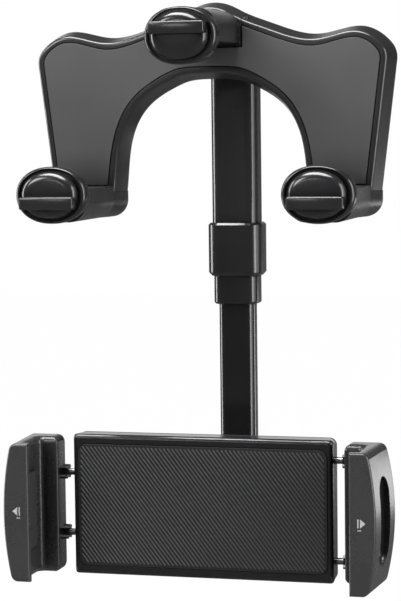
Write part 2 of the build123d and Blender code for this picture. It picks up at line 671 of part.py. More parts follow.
# Rear shell of the clamp with the ball's socket
with BuildPart() as clamp_back:
    extrude(body_face(body_corner, body_split), amount=-(body_back - body_split))
    fillet(clamp_back.faces().sort_by(Axis.Y)[-1].edges(), 2.6)
    extrude(body_face(3.0, body_split, body_wall), amount=-1.6, mode=Mode.SUBTRACT)
    for x, z in body_screws_at:
        extrude(disc(x, z, body_boss_r, body_split), amount=-2.0)
    extrude(disc(0, clamp_z, thread_r, body_back - 1.0), amount=-(boss_back - body_back + 1.0))
    with Locations((0, ball_y, clamp_z)):
        Sphere(socket_r, mode=Mode.SUBTRACT)
    for x, z in body_screws_at:
        extrude(disc(x, z, screw_r + 0.2, body_back), amount=body_back - body_split, mode=Mode.SUBTRACT)
        extrude(disc(x, z, screw_head_r + 0.2, body_back), amount=screw_head_t, mode=Mode.SUBTRACT)
clamp_back.part.label = "clamp_back"
export_step(clamp_back.part, "parts/clamp_back.step")

with BuildPart() as clamp_screws:
    for x, z in body_screws_at:
        extrude(disc(x, z, screw_head_r, body_back - 0.1), amount=screw_head_t - 0.2)
        extrude(disc(x, z, screw_r, body_back - 0.1), amount=body_screw_len)
clamp_screws.part.label = "clamp_screws"
export_step(clamp_screws.part, "parts/clamp_screws.step")


def jaw(side, rod_z):
    """Sprung jaw at one end of the clamp, from the right-hand one's sizes."""
    low = clamp_z - jaw_h / 2
    with BuildPart() as body:
        with BuildSketch(Plane.XY.offset(low)) as profile:
            with BuildLine():
                Polyline(
                    (lip_in, lip_front),
                    (jaw_mid + 4, lip_front),
                    (jaw_mid + 4, jaw_back),
                    (jaw_in, jaw_back),
                    (jaw_in, jaw_rest_y),
                    (jaw_wall_x, jaw_rest_y),
                    (jaw_wall_x, lip_front + lip_t),
                    (lip_in, lip_front + lip_t - 0.6),
                    close=True,
                )
            make_face()
        extrude(amount=jaw_h)
        bows = []
        for y, x_mid, x_end in ((lip_front, lip_mid, lip_end), (jaw_back, jaw_mid, jaw_end)):
            with BuildSketch(at_y(y), mode=Mode.PRIVATE) as bow:
                with BuildLine():
                    Line((jaw_in - 5, low), (x_end, low))
                    ThreePointArc((x_end, low), (x_mid, clamp_z), (x_end, low + jaw_h))
                    Line((x_end, low + jaw_h), (jaw_in - 5, low + jaw_h))
                    Line((jaw_in - 5, low + jaw_h), (jaw_in - 5, low))
                make_face()
                fillet(bow.vertices().sort_by(Axis.X)[-2:], jaw_corner)
            bows.append(bow.sketch)
        loft(bows, ruled=True, mode=Mode.INTERSECT)
        outer_rear = body.faces().sort_by(Axis.Y)[-1].edges().sort_by(Axis.X)[-1]
        fillet(outer_rear, jaw_round)
        upright = body.edges().filter_by(Axis.Z)
        fillet(upright.sort_by_distance((jaw_wall_x, jaw_rest_y, clamp_z))[0], channel_round)
        fillet(body.faces().sort_by(Axis.Y)[0].edges(), lip_edge)
        upright = body.edges().filter_by(Axis.Z)
        fillet(upright.sort_by_distance((jaw_in, jaw_rest_y, clamp_z))[0], lip_round)
        inner_ends = body.edges().filter_by(Axis.Y).group_by(Axis.X)[0]
        fillet(inner_ends, 3.0)
        with BuildSketch(Plane.YZ.offset(slot_floor)) as slot:
            with Locations((slot_y, clamp_z - 1.0)):
                SlotOverall(slot_l, slot_w, rotation=90)
        extrude(amount=12.0, mode=Mode.SUBTRACT)
        slot_face = body.faces().filter_by(Axis.X).sort_by_distance((slot_floor, slot_y, clamp_z))[0]
        fillet(slot_face.edges(), slot_scoop)
        for t in (-1, 1):
            with BuildSketch(Plane.YZ.offset(jaw_in + 0.5)) as boss:
                with Locations((rod_y, clamp_z + t * rod_z)):
                    Circle(boss_core_r)
                    Rectangle(boss_rib_l, boss_rib_w, rotation=45)
                    Rectangle(boss_rib_w, boss_rib_l, rotation=45)
            extrude(amount=-boss_len - 0.5)
        for t in (-1, 1):
            with BuildSketch(Plane.YZ.offset(jaw_in - boss_len)) as bore:
                with Locations((rod_y, clamp_z + t * rod_z)):
                    Circle(rod_r + 0.02)
            extrude(amount=rod_out - jaw_in + boss_len + 0.2, mode=Mode.SUBTRACT)
    return body.part if side > 0 else body.part.mirror(Plane.YZ)


def jaw_pad(side):
    """Soft strip on the inner wall of a jaw."""
    with BuildPart() as pad:
        with BuildSketch(Plane.YZ.offset(jaw_wall_x)) as strip:
            with Locations(((jaw_pad_front + jaw_pad_back) / 2, clamp_z)):
                RectangleRounded(jaw_pad_back - jaw_pad_front, jaw_pad_h, 2.0)
        extrude(amount=-jaw_pad_t)
    return pad.part if side > 0 else pad.part.mirror(Plane.YZ)


def rods(side, rod_z):
    """Pair of slide rods of one jaw, each with the stop that its spring pushes on."""
    with BuildPart() as pair:
        for t in (-1, 1):
            with BuildSketch(Plane.YZ.offset(-rod_in)) as rod:
                with Locations((rod_y, clamp_z + t * rod_z)):
                    Circle(rod_r)
            extrude(amount=rod_in + rod_out)
            with BuildSketch(Plane.YZ.offset(-rod_in)) as stop:
                with Locations((rod_y, clamp_z + t * rod_z)):
                    Circle(rod_stop_r)
            extrude(amount=rod_stop_t)
    return pair.part if side > 0 else pair.part.mirror(Plane.YZ)


def jaw_springs(side, rod_z):
    """Pair of compression springs on one jaw's rods, as their coils' sleeves."""
    start = -rod_in + rod_stop_t + 0.2
    with BuildPart() as pair:
        for t in (-1, 1):
            with BuildSketch(Plane.YZ.offset(start)) as coil:
                with Locations((rod_y, clamp_z + t * rod_z)):
                    Circle(coil_r)
                    Circle(coil_r - coil_wire, mode=Mode.SUBTRACT)
            extrude(amount=body_w / 2 - body_wall - 0.2 - start)
    return pair.part if side > 0 else pair.part.mirror(Plane.YZ)


left_jaw = jaw(-1, rod_z_left)
left_jaw.label = "left_jaw"
export_step(left_jaw, "parts/left_jaw.step")

right_jaw = jaw(1, rod_z_right)
right_jaw.label = "right_jaw"
export_step(right_jaw, "parts/right_jaw.step")

left_jaw_pad = jaw_pad(-1)
left_jaw_pad.label = "left_jaw_pad"
export_step(left_jaw_pad, "parts/left_jaw_pad.step")

right_jaw_pad = jaw_pad(1)
right_jaw_pad.label = "right_jaw_pad"
export_step(right_jaw_pad, "parts/right_jaw_pad.step")

left_rods = rods(-1, rod_z_left)
left_rods.label = "left_rods"
export_step(left_rods, "parts/left_rods.step")

right_rods = rods(1, rod_z_right)
right_rods.label = "right_rods"
export_step(right_rods, "parts/right_rods.step")

left_jaw_springs = jaw_springs(-1, rod_z_left)
left_jaw_springs.label = "left_jaw_springs"
export_step(left_jaw_springs, "parts/left_jaw_springs.step")

right_jaw_springs = jaw_springs(1, rod_z_right)
right_jaw_springs.label = "right_jaw_springs"
export_step(right_jaw_springs, "parts/right_jaw_springs.step")
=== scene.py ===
"""Looks of a tablet holder for a car's rear view mirror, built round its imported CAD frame."""
import json
import logging
import math
from dataclasses import dataclass
from enum import Enum
from typing import Any, ClassVar, Mapping, Optional, Sequence

import bmesh
import bpy
from mathutils import Matrix, Vector

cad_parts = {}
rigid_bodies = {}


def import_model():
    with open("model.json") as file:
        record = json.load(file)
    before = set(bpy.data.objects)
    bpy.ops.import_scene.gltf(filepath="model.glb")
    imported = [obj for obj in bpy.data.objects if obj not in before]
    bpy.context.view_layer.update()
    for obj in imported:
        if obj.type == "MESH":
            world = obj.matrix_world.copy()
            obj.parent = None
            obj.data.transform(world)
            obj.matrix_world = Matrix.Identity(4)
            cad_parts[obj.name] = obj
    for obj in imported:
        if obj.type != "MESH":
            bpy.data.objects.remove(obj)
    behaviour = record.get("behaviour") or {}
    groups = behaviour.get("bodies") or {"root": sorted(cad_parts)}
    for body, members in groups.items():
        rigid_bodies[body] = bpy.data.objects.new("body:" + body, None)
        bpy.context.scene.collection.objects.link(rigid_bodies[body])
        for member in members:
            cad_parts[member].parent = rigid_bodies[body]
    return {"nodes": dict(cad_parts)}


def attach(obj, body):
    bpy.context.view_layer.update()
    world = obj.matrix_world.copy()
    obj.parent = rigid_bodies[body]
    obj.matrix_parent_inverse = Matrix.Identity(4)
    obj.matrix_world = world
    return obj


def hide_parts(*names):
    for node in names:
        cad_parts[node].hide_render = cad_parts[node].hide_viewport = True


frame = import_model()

LOG = logging.getLogger("holder")
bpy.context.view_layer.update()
MM = 0.001
Colour = tuple[float, float, float]
Point = tuple[float, float, float]
Spot = tuple[float, float]


class Axis(Enum):
    """Object axes that a grain can run along."""

    X = 0
    Y = 1
    Z = 2


class Way(Enum):
    """The two ways along an axis."""

    PLUS = 1
    MINUS = -1


class Field:
    """A node's output socket, with arithmetic that adds Math nodes to its tree."""

    def __init__(self, bench: "Bench", socket: bpy.types.NodeSocket) -> None:
        """Keep the socket and the bench that its tree is built on."""
        self.bench = bench
        self.socket = socket

    def out(self, name: str) -> "Field":
        """Another output of the same node, by name."""
        return Field(self.bench, self.socket.node.outputs[name])

    def math(self, operation: str, *others: Any) -> "Field":
        """Add a Math node on this value.

        Args:
            operation: Blender's name of the operation.
            others: The further operands, numbers or fields.

        Returns:
            The result as a field.
        """
        sockets = {0: self, **{i + 1: other for i, other in enumerate(others)}}
        return self.bench.add("ShaderNodeMath", {"operation": operation}, sockets)

    def flipped(self, operation: str, first: float) -> "Field":
        """Add a Math node whose first operand is a plain number."""
        return self.bench.add("ShaderNodeMath", {"operation": operation}, {0: first, 1: self})

    def __add__(self, other: Any) -> "Field":
        """Sum."""
        return self.math("ADD", other)

    def __radd__(self, other: float) -> "Field":
        """Sum, reflected."""
        return self.flipped("ADD", other)

    def __sub__(self, other: Any) -> "Field":
        """Difference."""
        return self.math("SUBTRACT", other)

    def __rsub__(self, other: float) -> "Field":
        """Difference, reflected."""
        return self.flipped("SUBTRACT", other)

    def __mul__(self, other: Any) -> "Field":
        """Product."""
        return self.math("MULTIPLY", other)

    def __rmul__(self, other: float) -> "Field":
        """Product, reflected."""
        return self.flipped("MULTIPLY", other)

    def __truediv__(self, other: Any) -> "Field":
        """Quotient."""
        return self.math("DIVIDE", other)

    def __rtruediv__(self, other: float) -> "Field":
        """Quotient, reflected."""
        return self.flipped("DIVIDE", other)


class Bench:
    """Builds one node tree: adds nodes, sets them and links them."""

    # A Mix node repeats its sockets' names for each type, so its colours go by place.
    MIX_FACTOR: ClassVar[int] = 0
    MIX_LOW: ClassVar[int] = 6
    MIX_HIGH: ClassVar[int] = 7
    MIX_RESULT: ClassVar[int] = 2

    def __init__(self, tree: bpy.types.NodeTree) -> None:
        """Take the tree to build in."""
        self.tree = tree

    def add(
        self,
        kind: str,
        settings: Optional[Mapping[str, Any]] = None,
        sockets: Optional[Mapping[Any, Any]] = None,
    ) -> Field:
        """Add a node.

        Args:
            kind: The node's type.
            settings: Attributes set first; "stops" gives a ramp's stops.
            sockets: What its inputs take, as in fill.

        Returns:
            The node's first output, or its first input where it has no output.
        """
        node = self.tree.nodes.new(kind)
        for key, value in (settings or {}).items():
            if key == "stops":
                self.set_stops(node.color_ramp, value)
            else:
                setattr(node, key, value)
        self.fill(node, sockets or {})
        return Field(self, node.outputs[0] if node.outputs else node.inputs[0])

    def fill(self, node: bpy.types.Node, sockets: Mapping[Any, Any]) -> None:
        """Give a node's inputs what they take.

        Args:
            node: The node.
            sockets: By name or place, a plain value, a field to link or a list of fields to link.
        """
        for key, value in sockets.items():
            for item in value if isinstance(value, list) else [value]:
                if isinstance(item, Field):
                    self.tree.links.new(item.socket, node.inputs[key])
                else:
                    node.inputs[key].default_value = item

    @staticmethod
    def set_stops(ramp: bpy.types.ColorRamp, stops: Sequence[Spot]) -> None:
        """Give a ramp grey stops.

        Args:
            ramp: The ramp.
            stops: A place and a value for each stop.
        """
        while len(ramp.elements) < len(stops):
            ramp.elements.new(stops[-1][0])
        for element, (place, value) in zip(ramp.elements, stops):
            element.position = place
            element.color = (value, value, value, 1.0)

    def tint(self, factor: Field, low: Colour, high: Colour) -> Field:
        """Mix two colours.

        Args:
            factor: The share of the second colour, from 0 to 1.
            low: The first colour.
            high: The second colour.

        Returns:
            The mixed colour.
        """
        ends = {self.MIX_FACTOR: factor, self.MIX_LOW: (*low, 1.0), self.MIX_HIGH: (*high, 1.0)}
        mixed = self.add("ShaderNodeMix", {"data_type": "RGBA"}, ends)
        return Field(self, mixed.socket.node.outputs[self.MIX_RESULT])


@dataclass(frozen=True)
class PaintedShadeFall:
    """Painted shade: tone that falls along Z from one height in millimetres to a lower one, standing in for
    light that reaches the lower part less.
    """

    low_z: float
    high_z: float
    low_tone: float

    def darkening(self, bench: Bench, place: Field) -> Field:
        """Painted shade to take away.

        Args:
            bench: The material's tree.
            place: Object coordinates.

        Returns:
            Nothing at the upper height, and the whole fall at the lower one.
        """
        height = bench.add("ShaderNodeSeparateXYZ", {}, {0: place}).out("Z")
        share = (height - self.low_z * MM) / ((self.high_z - self.low_z) * MM)
        return (1.0 - share.math("MAXIMUM", 0.0).math("MINIMUM", 1.0)) * self.low_tone


@dataclass(frozen=True)
class Finish:
    """A moulded, plated or rubber surface with grain, mottling and worn gloss, with painted shade in
    corners and recesses and, when given, towards the bottom, in millimetres.
    """

    name: str
    colour: Colour
    roughness: float
    metallic: float = 0.0
    coat: float = 0.0
    grain: float = 0.02
    grain_pitch: float = 0.45
    mottle: float = 0.18
    edge: float = 0.4
    # Share of tone taken away as painted shade in corners and recesses.
    painted_shade_share: float = 0.75
    streak: Optional[Axis] = None
    # Painted shade that darkens the finish towards the bottom, when given.
    painted_shade_fall: Optional[PaintedShadeFall] = None

    NOISE_MIDDLE: ClassVar[float] = 0.5
    FINE_DETAIL: ClassVar[float] = 2.0
    BROAD_DETAIL: ClassVar[float] = 3.0
    BROAD_SCALE: ClassVar[float] = 28.0
    STREAK_SCALE: ClassVar[float] = 0.03
    FINE_TONE: ClassVar[float] = 0.5
    DARKEST: ClassVar[float] = 0.1
    LIGHTEST: ClassVar[float] = 1.9
    BROAD_GLOSS: ClassVar[float] = 0.12
    FINE_GLOSS: ClassVar[float] = 0.08
    COAT_ROUGHNESS: ClassVar[float] = 0.12
    PAINTED_SHADE_REACH: ClassVar[float] = 18.0
    PAINTED_SHADE_SAMPLES: ClassVar[int] = 8
    EDGE_SAMPLES: ClassVar[int] = 6
    GRAIN_STRENGTH: ClassVar[float] = 0.6

    def material(self) -> bpy.types.Material:
        """Build the finish once and hand it out.

        Returns:
            The node material of this finish.
        """
        found = bpy.data.materials.get(self.name)
        if found:
            return found
        made = bpy.data.materials.new(self.name)
        made.use_nodes = True
        bench = Bench(made.node_tree)
        place = bench.add("ShaderNodeTexCoord").out("Object")
        fine = self.fine_noise(bench, place)
        broad = bench.add(
            "ShaderNodeTexNoise",
            {},
            {"Vector": place, "Scale": self.BROAD_SCALE, "Detail": self.BROAD_DETAIL},
        )
        fine_swing = fine - self.NOISE_MIDDLE
        broad_swing = broad - self.NOISE_MIDDLE
        tone = broad_swing * self.mottle + self.NOISE_MIDDLE + fine_swing * (self.FINE_TONE * self.mottle)
        # Painted shade falling towards the bottom, where the finish gives one.
        if self.painted_shade_fall is not None:
            tone = tone - self.painted_shade_fall.darkening(bench, place)
        # Painted shade: tone taken away in corners and recesses.
        tone = tone - self.shade(bench)
        bench.fill(
            made.node_tree.nodes["Principled BSDF"],
            {
                "Base Color": bench.tint(
                    tone.math("MAXIMUM", 0.0), self.scaled(self.DARKEST), self.scaled(self.LIGHTEST)
                ),
                "Roughness": broad_swing * self.BROAD_GLOSS + fine_swing * self.FINE_GLOSS + self.roughness,
                "Metallic": self.metallic,
                "Coat Weight": self.coat,
                "Coat Roughness": self.COAT_ROUGHNESS,
                "Normal": self.relief(bench, fine),
            },
        )
        return made

    def scaled(self, share: float) -> Colour:
        """The finish's colour, made darker or lighter by a factor."""
        red, green, blue = self.colour
        return share * red, share * green, share * blue

    def fine_noise(self, bench: Bench, place: Field) -> Field:
        """Grain of the surface, drawn out along the streak's axis where there is one.

        Args:
            bench: The material's tree.
            place: Object coordinates.

        Returns:
            The grain from 0 to 1.
        """
        if self.streak is not None:
            stretch = tuple(self.STREAK_SCALE if axis is self.streak else 1.0 for axis in Axis)
            place = bench.add("ShaderNodeMapping", {}, {"Vector": place, "Scale": stretch})
        scale = 1.0 / (self.grain_pitch * MM)
        sockets = {"Vector": place, "Scale": scale, "Detail": self.FINE_DETAIL}
        return bench.add("ShaderNodeTexNoise", {}, sockets)

    def shade(self, bench: Bench) -> Field:
        """Painted shade: tone taken away in corners and recesses, as deep as ambient occlusion finds them.

        Args:
            bench: The material's tree.

        Returns:
            The loss of tone, none in the open.
        """
        reach = {"Distance": self.PAINTED_SHADE_REACH * MM}
        settings = {"samples": self.PAINTED_SHADE_SAMPLES}
        open_air = bench.add("ShaderNodeAmbientOcclusion", settings, reach).out("AO")
        return (1.0 - open_air) * self.painted_shade_share

    def relief(self, bench: Bench, fine: Field) -> Field:
        """Normal with softened edges and the raised grain.

        Args:
            bench: The material's tree.
            fine: The grain.

        Returns:
            The normal.
        """
        soft = bench.add("ShaderNodeBevel", {"samples": self.EDGE_SAMPLES}, {"Radius": self.edge * MM})
        depth = self.grain * MM
        sockets = {"Strength": self.GRAIN_STRENGTH, "Distance": depth, "Height": fine, "Normal": soft}
        return bench.add("ShaderNodeBump", {}, sockets)


# Unless a finish sets a smaller share, its tone is darkened in corners and recesses as painted shade.
BRACKET_BLACK = Finish("moulded_bracket_black", (0.02, 0.02, 0.021), 0.24, coat=0.2, grain=0.008)
# Painted shade: darker towards the bottom of the pad, for light that falls from above.
PANEL_GREY = Finish(
    "soft_panel_grey",
    (0.078, 0.078, 0.079),
    0.5,
    grain=0.03,
    grain_pitch=0.35,
    painted_shade_fall=PaintedShadeFall(low_z=-70.0, high_z=10.0, low_tone=0.2),
)
CLAW_BLACK = Finish("moulded_claw_black", (0.022, 0.022, 0.023), 0.28, coat=0.15, grain=0.01)
HEAD_BLACK = Finish("moulded_head_black", (0.015, 0.015, 0.016), 0.23, coat=0.3, grain=0.004, edge=0.2)
# Painted shade: darker towards the bottom of the pole, for the way the light falls along it.
POLE_GLOSS = Finish(
    "gloss_pole_black",
    (0.022, 0.022, 0.023),
    0.2,
    coat=0.3,
    grain=0.003,
    streak=Axis.Z,
    painted_shade_fall=PaintedShadeFall(low_z=-150.0, high_z=-60.0, low_tone=0.36),
)
COLLAR_GLOSS = Finish("gloss_collar_black", (0.016, 0.016, 0.017), 0.2, coat=0.3, grain=0.004)
JOINT_BLACK = Finish("moulded_joint_black", (0.02, 0.02, 0.021), 0.42)
LINER_GREY = Finish("slippery_liner_grey", (0.2, 0.2, 0.2), 0.45)
FRAME_GLOSS = Finish("gloss_clamp_black", (0.01, 0.01, 0.011), 0.22, coat=0.25, grain=0.003)
BACK_BLACK = Finish("moulded_back_black", (0.02, 0.02, 0.021), 0.45, grain=0.04)
# Painted shade: the grip between the ribs is darker than the rubber of the ribs, for the shade in the gaps.
PAINTED_SHADE_GRIP_RUBBER = Finish(
    "painted_shade_grip_rubber",
    (0.011, 0.011, 0.012),
    0.62,
    grain=0.05,
    grain_pitch=0.3,
    painted_shade_share=0.3,
)
# Painted light: the ribs are lighter than the grip between them, for the light that their raised tops
# catch.
PAINTED_LIT_RIB_RUBBER = Finish(
    "painted_lit_raised_rib_rubber",
    (0.056, 0.056, 0.057),
    0.5,
    grain=0.03,
    grain_pitch=0.3,
    painted_shade_share=0.2,
)
# Strong painted shade darkens the jaws' channels and their inner ends beside the clamp body.
JAW_BLACK = Finish(
    "moulded_jaw_black",
    (0.035, 0.035, 0.036),
    0.27,
    coat=0.15,
    grain=0.003,
    edge=0.2,
    painted_shade_share=1.2,
)
STRIP_RUBBER = Finish("soft_strip_rubber", (0.03, 0.03, 0.031), 0.65, grain=0.05)
ROD_CHROME = Finish(
    "plated_rod",
    (0.8, 0.8, 0.82),
    0.26,
    metallic=1.0,
    grain=0.002,
    mottle=0.05,
    streak=Axis.X,
)
SCREW_STEEL = Finish("plain_steel", (0.42, 0.42, 0.43), 0.3, metallic=1.0, grain=0.01, mottle=0.2)
MARK_WHITE = Finish("printed_mark_white", (0.4, 0.4, 0.4), 0.5, grain=0.004, painted_shade_share=0.0)


@dataclass(frozen=True)
class NodeBox:
    """Box of a CAD node at rest, in millimetres."""

    low: Vector
    high: Vector

    # Places of the two opposite corners in Blender's list of eight.
    LOW_CORNER: ClassVar[int] = 0
    HIGH_CORNER: ClassVar[int] = 6

    @classmethod
    def of(cls, node: str) -> "NodeBox":
        """Measure a node by its name."""
        corners = frame["nodes"][node].bound_box
        return cls(Vector(corners[cls.LOW_CORNER]) / MM, Vector(corners[cls.HIGH_CORNER]) / MM)

    @property
    def middle(self) -> Vector:
        """Centre of the box."""
        return (self.low + self.high) / 2

    @property
    def half(self) -> Vector:
        """Half the box's size along each axis."""
        return (self.high - self.low) / 2


def set_down(name: str, mesh: bpy.types.Mesh) -> bpy.types.Object:
    """Put a mesh into the scene as an object at the origin.

    Args:
        name: The object's name.
        mesh: Its mesh.

    Returns:
        The object.
    """
    thing = bpy.data.objects.new(name, mesh)
    bpy.context.scene.collection.objects.link(thing)
    return thing


def moulded(name: str, shape: bmesh.types.BMesh, finish: Finish) -> bpy.types.Object:
    """Turn a shape into a mesh piece with a finish.

    Args:
        name: The piece's name.
        shape: The shape, which is freed.
        finish: Its finish.

    Returns:
        The piece.
    """
    mesh = bpy.data.meshes.new(name)
    shape.to_mesh(mesh)
    shape.free()
    mesh.materials.append(finish.material())
    return set_down(name, mesh)


def plain_piece(name: str, host: bpy.types.Object) -> bpy.types.Object:
    """Turn a host with a Geometry Nodes modifier into a plain mesh piece.

    Args:
        name: The piece's name.
        host: The object whose evaluated mesh is taken; it is removed.

    Returns:
        The plain mesh object at the origin.
    """
    graph = bpy.context.evaluated_depsgraph_get()
    mesh = bpy.data.meshes.new_from_object(host.evaluated_get(graph), depsgraph=graph)
    bpy.data.objects.remove(host)
    mesh.name = name
    return set_down(name, mesh)


class NodeShape:
    """A Geometry Nodes tree with named inputs, run once on a host mesh."""

    def __init__(self, name: str, inputs: Mapping[str, str]) -> None:
        """Make the tree and its inputs.

        Args:
            name: The tree's name.
            inputs: Socket types by input name.
        """
        self.tree = bpy.data.node_groups.new(name, "GeometryNodeTree")
        self.bench = Bench(self.tree)
        sockets = self.tree.interface
        sockets.new_socket("Geometry", in_out="INPUT", socket_type="NodeSocketGeometry")
        self.ids = {}
        for label, kind in inputs.items():
            self.ids[label] = sockets.new_socket(label, in_out="INPUT", socket_type=kind).identifier
        sockets.new_socket("Geometry", in_out="OUTPUT", socket_type="NodeSocketGeometry")
        self.start = self.bench.add("NodeGroupInput")

    def given(self, label: str) -> Field:
        """The field of a named input."""
        return self.start.out(label)

    def close(self, shape: Field) -> None:
        """End the tree in Realize Instances and Set Material.

        Args:
            shape: The geometry so far.
        """
        solid = self.bench.add("GeometryNodeRealizeInstances", {}, {0: shape})
        coat = {"Geometry": solid, "Material": self.given("Material")}
        coated = self.bench.add("GeometryNodeSetMaterial", {}, coat)
        self.bench.add("NodeGroupOutput", {}, {0: coated})

    def run(self, name: str, points: Sequence[Point], values: Mapping[str, Any]) -> bpy.types.Object:
        """Evaluate the tree on a host of loose points.

        Args:
            name: Name of the piece.
            points: The host's vertices.
            values: Input values by name.

        Returns:
            The plain mesh piece.
        """
        mesh = bpy.data.meshes.new(name + "_host")
        mesh.from_pydata([Vector(p) for p in points], [], [])
        host = set_down(name + "_host", mesh)
        modifier = host.modifiers.new("shape", "NODES")
        modifier.node_group = self.tree
        for label, value in values.items():
            modifier[self.ids[label]] = value
        return plain_piece(name, host)


class RibShape(NodeShape):
    """Slanting ribs over a rectangle in X and Z, each cut off at its edges."""

    SIDES: ClassVar[int] = 8

    def __init__(self) -> None:
        """Build the tree."""
        number = "NodeSocketFloat"
        super().__init__(
            "slanting_ribs",
            {
                "Half Width": number,
                "Half Height": number,
                "Pitch": number,
                "Lean": number,
                "Rib Width": number,
                "Rib Height": number,
                "Shortest Rib": number,
                "Count": "NodeSocketInt",
                "Material": "NodeSocketMaterial",
            },
        )
        bench = self.bench
        lean = self.given("Lean")
        rise, run = lean.math("SINE"), lean.math("COSINE")
        half_w, half_h = self.given("Half Width"), self.given("Half Height")
        points = bench.add("GeometryNodePoints", {}, {"Count": self.given("Count")})
        index = bench.add("GeometryNodeInputIndex")
        across = (index - (self.given("Count") - 1.0) * 0.5) * self.given("Pitch")
        low = (half_h * -1.0 / rise).math("MAXIMUM", (half_w * -1.0 - across) / run)
        high = (half_h / rise).math("MINIMUM", (half_w - across) / run)
        middle = (low + high) * 0.5
        length = (high - low).math("MAXIMUM", 0.0)
        place = {"X": across + middle * run, "Z": middle * rise * -1.0}
        spot = bench.add("ShaderNodeCombineXYZ", {}, place)
        size = {"X": self.given("Rib Width"), "Y": self.given("Rib Height") * 2.0, "Z": length}
        least = {0: length, 1: self.given("Shortest Rib")}
        cylinder = {"Vertices": self.SIDES, "Depth": 1.0, "Radius": 0.5}
        ribs = bench.add(
            "GeometryNodeInstanceOnPoints",
            {},
            {
                "Points": bench.add("GeometryNodeSetPosition", {}, {"Geometry": points, "Position": spot}),
                "Selection": bench.add("FunctionNodeCompare", {"operation": "GREATER_THAN"}, least),
                "Instance": bench.add("GeometryNodeMeshCylinder", {}, cylinder),
                "Rotation": bench.add("ShaderNodeCombineXYZ", {}, {"Y": lean + math.pi / 2}),
                "Scale": bench.add("ShaderNodeCombineXYZ", {}, size),
            },
        )
        self.close(ribs)


class ScrewShape(NodeShape):
    """Pan-head screws along Y with a cross recess, one on each host point."""

    HEAD_SIDES: ClassVar[int] = 24
    SHANK_SIDES: ClassVar[int] = 16
    CROWN_SHARE: ClassVar[float] = 0.82
    SHANK_SUNK: ClassVar[float] = 0.2
    RECESS_LENGTH: ClassVar[float] = 1.1
    RECESS_TALL: ClassVar[float] = 0.9
    RECESS_LIFT: ClassVar[float] = 0.75

    def __init__(self) -> None:
        """Build the tree."""
        number = "NodeSocketFloat"
        super().__init__(
            "pan_head_screws",
            {
                "Head Radius": number,
                "Head Height": number,
                "Shank Radius": number,
                "Shank Length": number,
                "Recess Width": number,
                "Material": "NodeSocketMaterial",
            },
        )
        parts = [self.head(), self.shank()]
        whole = self.bench.add("GeometryNodeJoinGeometry", {}, {0: parts})
        upright = {"Points": self.start, "Instance": whole, "Rotation": (-math.pi / 2, 0.0, 0.0)}
        self.close(self.bench.add("GeometryNodeInstanceOnPoints", {}, upright))

    def moved(self, shape: Field, lift: Field) -> Field:
        """Move a shape along the screw.

        Args:
            shape: The geometry.
            lift: How far it moves towards the head.

        Returns:
            The moved geometry.
        """
        way = self.bench.add("ShaderNodeCombineXYZ", {}, {"Z": lift})
        return self.bench.add("GeometryNodeTransform", {}, {"Geometry": shape, "Translation": way})

    def head(self) -> Field:
        """Tapered head with its cross recess.

        Returns:
            The head's geometry.
        """
        bench = self.bench
        radius, height = self.given("Head Radius"), self.given("Head Height")
        taper = {"Radius Top": radius * self.CROWN_SHARE, "Radius Bottom": radius, "Depth": height}
        cone = bench.add("GeometryNodeMeshCone", {}, {"Vertices": self.HEAD_SIDES, **taper})
        slots = []
        for wide, deep in (("X", "Y"), ("Y", "X")):
            size = {wide: radius * self.RECESS_LENGTH, deep: self.given("Recess Width")}
            size["Z"] = height * self.RECESS_TALL
            box = bench.add("ShaderNodeCombineXYZ", {}, size)
            slots.append(bench.add("GeometryNodeMeshCube", {}, {"Size": box}))
        cross = bench.add("GeometryNodeJoinGeometry", {}, {0: slots})
        pair = {"Mesh 1": cone, "Mesh 2": self.moved(cross, height * self.RECESS_LIFT)}
        return bench.add("GeometryNodeMeshBoolean", {"operation": "DIFFERENCE"}, pair)

    def shank(self) -> Field:
        """Plain shank below the head.

        Returns:
            The shank's geometry.
        """
        length = self.given("Shank Length")
        size = {"Vertices": self.SHANK_SIDES, "Radius": self.given("Shank Radius"), "Depth": length}
        shank = self.bench.add("GeometryNodeMeshCylinder", {}, size)
        return self.moved(shank, length * -0.5 + self.given("Head Height") * self.SHANK_SUNK)


@dataclass(frozen=True)
class ScrewSize:
    """Sizes of a pan-head screw in millimetres."""

    head_t: float
    length: float
    head_r: float = 2.5
    shank_r: float = 1.2
    recess_w: float = 0.7

    def inputs(self) -> dict[str, Any]:
        """What the screw tree's inputs take.

        Returns:
            The values by input name.
        """
        return {
            "Head Radius": self.head_r * MM,
            "Head Height": self.head_t * MM,
            "Shank Radius": self.shank_r * MM,
            "Shank Length": (self.length - self.head_t) * MM,
            "Recess Width": self.recess_w * MM,
            "Material": SCREW_STEEL.material(),
        }


